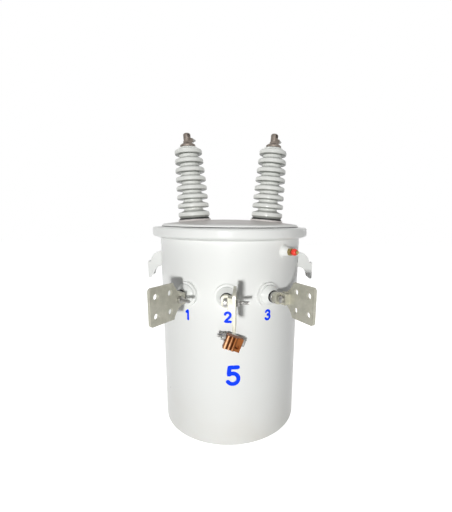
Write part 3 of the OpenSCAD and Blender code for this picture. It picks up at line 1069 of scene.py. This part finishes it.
@dataclass
class Cover:
    """The lid with its two seats, and the clamp band that holds it."""

    tank: Tank
    edge: float = 0.6 * MM
    # Thickness of the dark ring that paints the crease's shadow
    gasket: float = 1.1 * MM
    crease_shade_points: int = 160

    def crease_shade(self) -> None:
        """Lays a dark rubber ring in the crease between the lid and the band: a painted shadow along
        the gap.
        """
        _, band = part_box("cover_band")
        reach = self.tank.radius - 2 * self.tank.wall + self.gasket / 2
        line = circle(reach, band.z + self.gasket / 2, self.crease_shade_points)
        placed(stroke(line, self.gasket, closed=True), "lid_crease_shade", GASKET)

    def build(self) -> None:
        """Eases the lid and the band, and makes the band's closing bolt."""
        softened("lid", LID_PAINT, self.edge)
        softened("cover_band", PAINT, self.edge)
        # Painted shadow in the crease between the lid and the band
        self.crease_shade()
        Bolt(
            "band_bolt",
            RIGHT,
            UP,
            diameter=10.0 * MM,
            head=8.0 * MM,
            nut=8.0 * MM,
            tail=14.0 * MM,
            pitch=1.5 * MM,
        ).build()


@dataclass(frozen=True)
class ShedCorner:
    """A corner of a shed's outline.

    It stands on the core, or inset from the shed's rim. Its rise is counted in half rims.
    """

    rise: float
    rounding: float
    on_core: bool = False
    inset: float = 0.0


BASE_FORM = (
    ShedCorner(0.80, 5.0 * MM),
    ShedCorner(1.6, 4.0 * MM, on_core=True),
)
SHED_FORM = (
    ShedCorner(-0.75, 3.0 * MM, on_core=True),
    ShedCorner(-1.02, 2.0 * MM, inset=7.0 * MM),
    ShedCorner(-1.0, 5.0 * MM),
    ShedCorner(0.75, 5.5 * MM),
    ShedCorner(1.5, 4.0 * MM, on_core=True),
)


@dataclass
class HighVoltageBushing:
    """One shed porcelain bushing on the lid, with its cap and eye connector."""

    side: Side
    base_d: float = 93.0 * MM
    top_d: float = 79.0 * MM
    taper: float = 1.8
    core_low: float = 57.0 * MM
    core_top: float = 55.0 * MM
    pitch: float = 25.2 * MM
    sheds: int = 7
    rim: float = 14.0 * MM
    first: float = 13.2 * MM
    foot: float = 2.2 * MM
    foot_inset: float = 5.0 * MM
    foot_round: float = 1.5 * MM
    base_lift: float = 2.0 * MM
    base_round: float = 3.0 * MM
    top: float = 202.6 * MM
    top_round: float = 1.5 * MM
    underside_shade_gain: float = 1.2
    sharp: float = 50.0
    edge: float = 0.5 * MM

    def shed_radius(self, number: int) -> float:
        """Radius of a shed, counted from the base disc."""
        share = 1.0 - (number / self.sheds) ** self.taper
        return (self.top_d + (self.base_d - self.top_d) * share) / 2

    def core_radius(self, number: int) -> float:
        """Radius of the core at a shed, counted from the base disc."""
        return (self.core_low + (self.core_top - self.core_low) * number / self.sheds) / 2

    def corners(self, form: Sequence[ShedCorner], number: int) -> list[Corner]:
        """Places the corners of one shed.

        Args:
            form: The shed's corners.
            number: Which shed, counted from the base disc.

        Returns:
            The corners as (out, up, radius).
        """
        height = self.first + number * self.pitch
        core = self.core_radius(number)
        reach = self.shed_radius(number)
        outline: list[Corner] = []
        for corner in form:
            out = core if corner.on_core else reach - corner.inset
            outline.append((out, height + corner.rise * self.rim / 2, corner.rounding))
        return outline

    def porcelain(self, place: Matrix) -> None:
        """Turns the porcelain, with sheds whose rims hang a little below their roots.

        Args:
            place: The middle of the gasket, with Z along the bushing.
        """
        base = self.base_d / 2
        outline: list[Corner] = [
            (0.0, self.foot, 0.0),
            (base - self.foot_inset, self.foot, self.foot_round),
            (base, self.first - self.rim / 2 + self.base_lift, self.base_round),
        ]
        outline += self.corners(BASE_FORM, 0)
        for number in range(1, self.sheds + 1):
            outline += self.corners(SHED_FORM, number)
        outline += [(self.core_radius(self.sheds), self.top, self.top_round), (0.0, self.top, 0.0)]
        node = f"hv_bushing_{self.side.word}"
        shape = moved(spun(filleted(outline)), place)
        shape.normal_update()
        # Underside attribute from how far each normal points down: painted shade under the sheds,
        # partly soil
        layer = shape.verts.layers.float.new(UNDERSIDE_SHADE)
        for vertex in shape.verts:
            vertex[layer] = min(1.0, max(0.0, -self.underside_shade_gain * vertex.normal.z))
        placed(shape, f"{node}_glazed", GLAZE, [node], self.sharp)

    def build(self) -> None:
        """Makes the porcelain and dresses the metal on top of it."""
        word = self.side.word
        foot = middle(f"hv_gasket_{word}")
        lean = middle(f"hv_seal_{word}") - foot
        self.porcelain(along(foot, lean, BACK))
        softened(f"hv_gasket_{word}", GASKET, self.edge)
        softened(f"hv_seal_{word}", GASKET, self.edge)
        softened(f"hv_cap_{word}", BRONZE, self.edge)
        softened(f"hv_terminal_{word}", BRONZE, self.edge)
        softened(f"hv_clamp_bolt_{word}", STEEL, self.edge)


@dataclass
class LowVoltageTerminal:
    """One front bushing with its stud and four-hole spade pad."""

    side: Side
    edge: float = 0.6 * MM
    boss_edge: float = 1.2 * MM
    glaze_edge: float = 1.0 * MM
    pad_edge: float = 0.9 * MM

    def build(self) -> None:
        """Dresses the seat, the porcelain, the stud and the pad."""
        word = self.side.word
        softened(f"lv_boss_{word}", PAINT, self.boss_edge)
        softened(f"lv_bushing_{word}", PALE_GLAZE, self.glaze_edge, segments=3)
        softened(f"lv_gasket_{word}", GASKET, self.edge)
        softened(f"lv_stud_{word}", STEEL, self.edge)
        softened(f"lv_spade_{word}", TINNED, self.pad_edge)
        Bolt(
            f"lv_clamp_bolt_{word}",
            on_wall(f"lv_boss_{word}").to_3x3() @ RIGHT,
            UP,
            diameter=8.5 * MM,
            head=10.0 * MM,
            nut=6.5 * MM,
            tail=23.0 * MM,
            flats=16.0 * MM,
        ).build()


@dataclass
class GroundClamp:
    """The copper clamp on the front of the tank."""

    turn: float = math.radians(-20.0)
    edge: float = 1.2 * MM

    def build(self) -> None:
        """Dresses the boss, the clamp and its bolt."""
        softened("ground_boss", PAINT, self.edge)
        # The clamp's copper carries a painted highlight on its front crests
        front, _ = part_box("ground_clamp")
        softened("ground_clamp", replace(COPPER, crest=front.y), self.edge)
        wall = on_wall("ground_boss").to_3x3() @ Matrix.Rotation(self.turn, 3, "Z")
        Bolt(
            "ground_bolt",
            wall @ -RIGHT,
            wall @ UP,
            diameter=10.0 * MM,
            head=6.0 * MM,
            nut=10.0 * MM,
            tail=12.0 * MM,
            pitch=1.5 * MM,
        ).build()


@dataclass
class ReliefValve:
    """The pressure relief valve near the top of the tank."""

    edge: float = 0.5 * MM
    boss_edge: float = 1.5 * MM
    ring_edge: float = 1.5 * MM

    def build(self) -> None:
        """Dresses the boss, the brass body and the red ring."""
        softened("relief_boss", PAINT, self.boss_edge)
        softened("relief_valve", BRASS, self.edge)
        softened("relief_ring", RED, self.ring_edge, segments=3)


@dataclass
class Fixings:
    """The lifting lugs and the pole brackets."""

    edge: float = 1.0 * MM

    def build(self) -> None:
        """Eases each welded piece."""
        for node in ("lifting_lug_left", "lifting_lug_right"):
            softened(node, SHADED_LUG_PAINT, self.edge)
        for node in ("upper_hanger", "lower_hanger"):
            softened(node, PAINT, self.edge)


# Numerals


class Numeral(Enum):
    """Brush strokes of a plain numeral, in a box one unit tall."""

    ONE = "1"
    TWO = "2"
    THREE = "3"
    FIVE = "5"

    def strokes(self) -> list[list[Point]]:
        """The numeral's strokes, each as a line of points."""
        if self is Numeral.ONE:
            return [[(-0.16, 0.30), (0.06, 0.5), (0.06, -0.5)]]
        if self is Numeral.TWO:
            bow = bent((0.0, 0.22), 0.28, 165.0, -40.0)
            return [bow + [(-0.28, -0.5), (0.30, -0.5)]]
        if self is Numeral.THREE:
            return [bent((0.0, 0.25), 0.25, 150.0, -90.0) + bent((0.0, -0.22), 0.28, 90.0, -150.0)]
        bow = bent((-0.02, -0.18), 0.32, 130.0, -145.0)
        return [[(0.26, 0.5), (-0.20, 0.5), (-0.24, 0.06)] + bow]


def bent(centre: Point, radius: float, start: float, end: float, steps: int = 18) -> list[Point]:
    """Points of an arc.

    Args:
        centre: The arc's centre.
        radius: Its radius.
        start: Angle of its first point, in degrees.
        end: Angle of its last point, in degrees.
        steps: Number of steps between them.

    Returns:
        The points in order.
    """
    angles = [math.radians(start + (end - start) * step / steps) for step in range(steps + 1)]
    return [(centre[0] + radius * math.cos(a), centre[1] + radius * math.sin(a)) for a in angles]


def finely(line: Sequence[Point], step: float = 0.06) -> list[Point]:
    """Adds points along a line so that it can bend.

    Args:
        line: The line's points.
        step: The longest distance between two points.

    Returns:
        The line with the added points.
    """
    points: list[Point] = []
    for first, second in zip(line, line[1:]):
        parts = max(1, math.ceil(math.dist(first, second) / step))
        for part in range(parts):
            share = part / parts
            across = first[0] + share * (second[0] - first[0])
            up = first[1] + share * (second[1] - first[1])
            points.append((across, up))
    return points + [line[-1]]


@dataclass(frozen=True)
class Mark:
    """One numeral on the wall.

    Its azimuth is in degrees from the front, and its height is that of its middle above the floor.
    """

    numeral: Numeral
    azimuth: float
    height: float
    tall: float = 24.2 * MM
    brush: float = 6.8 * MM


MARKS = (
    Mark(Numeral.ONE, -30.4, 0.367),
    Mark(Numeral.TWO, 0.5, 0.370),
    Mark(Numeral.THREE, 30.4, 0.3685),
    Mark(Numeral.FIVE, 4.4, 0.2085, tall=47.5 * MM, brush=11.5 * MM),
)


@dataclass
class Marks:
    """The brushed-on numerals on the front of the tank."""

    tank: Tank
    thickness: float = 0.5 * MM

    def paint(self, mark: Mark) -> None:
        """Paints one numeral on the wall.

        Args:
            mark: The numeral, its place and its brush.
        """
        parts = []
        for line in mark.numeral.strokes():
            points = [Vector((x * mark.tall, y * mark.tall, 0.0)) for x, y in finely(line)]
            parts.append(stroke(points, mark.brush / 2, self.thickness / mark.brush))
        shape = wrapped(joined(*parts), self.tank.radius, math.radians(mark.azimuth), mark.height)
        placed(shape, f"mark_{mark.numeral.value}_{round(1000 * mark.height)}", BLUE)

    def build(self) -> None:
        """Paints the terminal numbers and the large number below them."""
        for mark in MARKS:
            self.paint(mark)


# Stage


@dataclass(frozen=True)
class Lamp:
    """A square area lamp: where it stands, the length of its side and its power in watts."""

    name: str
    place: Triple
    size: float
    watts: float
    mirrored: bool = False

    def build(self, target: Triple) -> None:
        """Makes the lamp, which shows on glossy surfaces only where it is mirrored.

        Args:
            target: The point that it faces.
        """
        data = bpy.data.lights.new(self.name, "AREA")
        data.size = self.size
        data.energy = self.watts
        lamp = bpy.data.objects.new(self.name, data)
        lamp.visible_glossy = self.mirrored
        ahead = Vector(target) - Vector(self.place)
        turn = ahead.to_track_quat("-Z", "Y").to_matrix().to_4x4()
        lamp.matrix_world = Matrix.Translation(self.place) @ turn
        bpy.context.scene.collection.objects.link(lamp)


LAMPS = (
    Lamp("key", (-0.23, -2.56, 0.54), size=0.16, watts=49.0, mirrored=True),
    Lamp("left_rear", (-2.1, 1.2, 1.0), size=1.0, watts=21.0),
    Lamp("right_rear", (1.7, 2.0, 1.0), size=1.0, watts=25.0),
    Lamp("top", (0.0, 0.25, 2.5), size=1.4, watts=15.0),
)


@dataclass
class Studio:
    """Floor, light and camera. The camera stands where the photograph was taken from."""

    photo_width: float = 452.0
    photo_height: float = 512.0
    focal_pixels: float = 308.97
    centre_x: float = 242.56
    centre_y: float = 280.58
    sensor: float = 36.0
    eye: Triple = (0.0386, -0.9601, 0.6124)
    pitch_down: float = 0.1932
    roll: float = 0.010
    clip_start: float = 0.02
    floor_size: float = 14.0
    floor_tone: float = 0.45
    floor_roughness: float = 0.9
    floor_glow: float = 0.92
    sky: float = 0.09
    aim: Triple = (0.0, 0.0, 0.45)

    def camera(self) -> None:
        """Makes the camera and hands it to the scene."""
        data = bpy.data.cameras.new("camera")
        data.sensor_width = self.sensor
        data.lens = self.focal_pixels * self.sensor / self.photo_height
        data.shift_x = (self.photo_width / 2 - self.centre_x) / self.photo_height
        data.shift_y = (self.centre_y - self.photo_height / 2) / self.photo_height
        data.clip_start = self.clip_start
        camera = bpy.data.objects.new("camera", data)
        tilt = Matrix.Rotation(math.pi / 2 - self.pitch_down, 4, "X")
        turn = Matrix.Rotation(self.roll, 4, "Z")
        camera.matrix_world = Matrix.Translation(self.eye) @ tilt @ turn
        bpy.context.scene.collection.objects.link(camera)
        bpy.context.scene.camera = camera

    def floor(self) -> None:
        """Lays a pale floor that shows white to the camera away from shadows."""
        shape = bmesh.new()
        bmesh.ops.create_grid(shape, x_segments=1, y_segments=1, size=self.floor_size / 2)
        mesh = bpy.data.meshes.new("floor")
        shape.to_mesh(mesh)
        shape.free()
        floor = bpy.data.objects.new("floor", mesh)
        bpy.context.scene.collection.objects.link(floor)
        material = bpy.data.materials.new("pale_floor")
        material.use_nodes = True
        kit = NodeKit(material.node_tree)
        shader = material.node_tree.nodes["Principled BSDF"]
        shader.inputs["Base Color"].default_value = (*(self.floor_tone,) * 3, 1.0)
        shader.inputs["Roughness"].default_value = self.floor_roughness
        shader.inputs["Emission Strength"].default_value = 1.0
        glow = kit.seen() * self.floor_glow
        material.node_tree.links.new(glow.socket, shader.inputs["Emission Color"])
        mesh.materials.append(material)

    def world(self) -> None:
        """Sets a soft sky that shows white to the camera and in reflections."""
        world = bpy.data.worlds.new("studio")
        world.use_nodes = True
        bpy.context.scene.world = world
        kit = NodeKit(world.node_tree)
        strength = kit.seen() * (1.0 - self.sky) + self.sky
        background = world.node_tree.nodes["Background"]
        background.inputs["Color"].default_value = WHITE
        world.node_tree.links.new(strength.socket, background.inputs["Strength"])

    def build(self) -> None:
        """Sets the stage and the camera."""
        bpy.context.scene.view_settings.view_transform = "Standard"
        self.floor()
        self.world()
        for lamp in LAMPS:
            lamp.build(self.aim)
        self.camera()


def main() -> None:
    logging.basicConfig(level=logging.INFO, format="%(name)s %(message)s")
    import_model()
    tank = Tank()
    tank.build()
    Cover(tank).build()
    for side in (Side.LEFT, Side.RIGHT):
        HighVoltageBushing(side).build()
    for side in Side:
        LowVoltageTerminal(side).build()
    GroundClamp().build()
    ReliefValve().build()
    Fixings().build()
    Marks(tank).build()
    Studio().build()


if __name__ == "__main__":
    main()
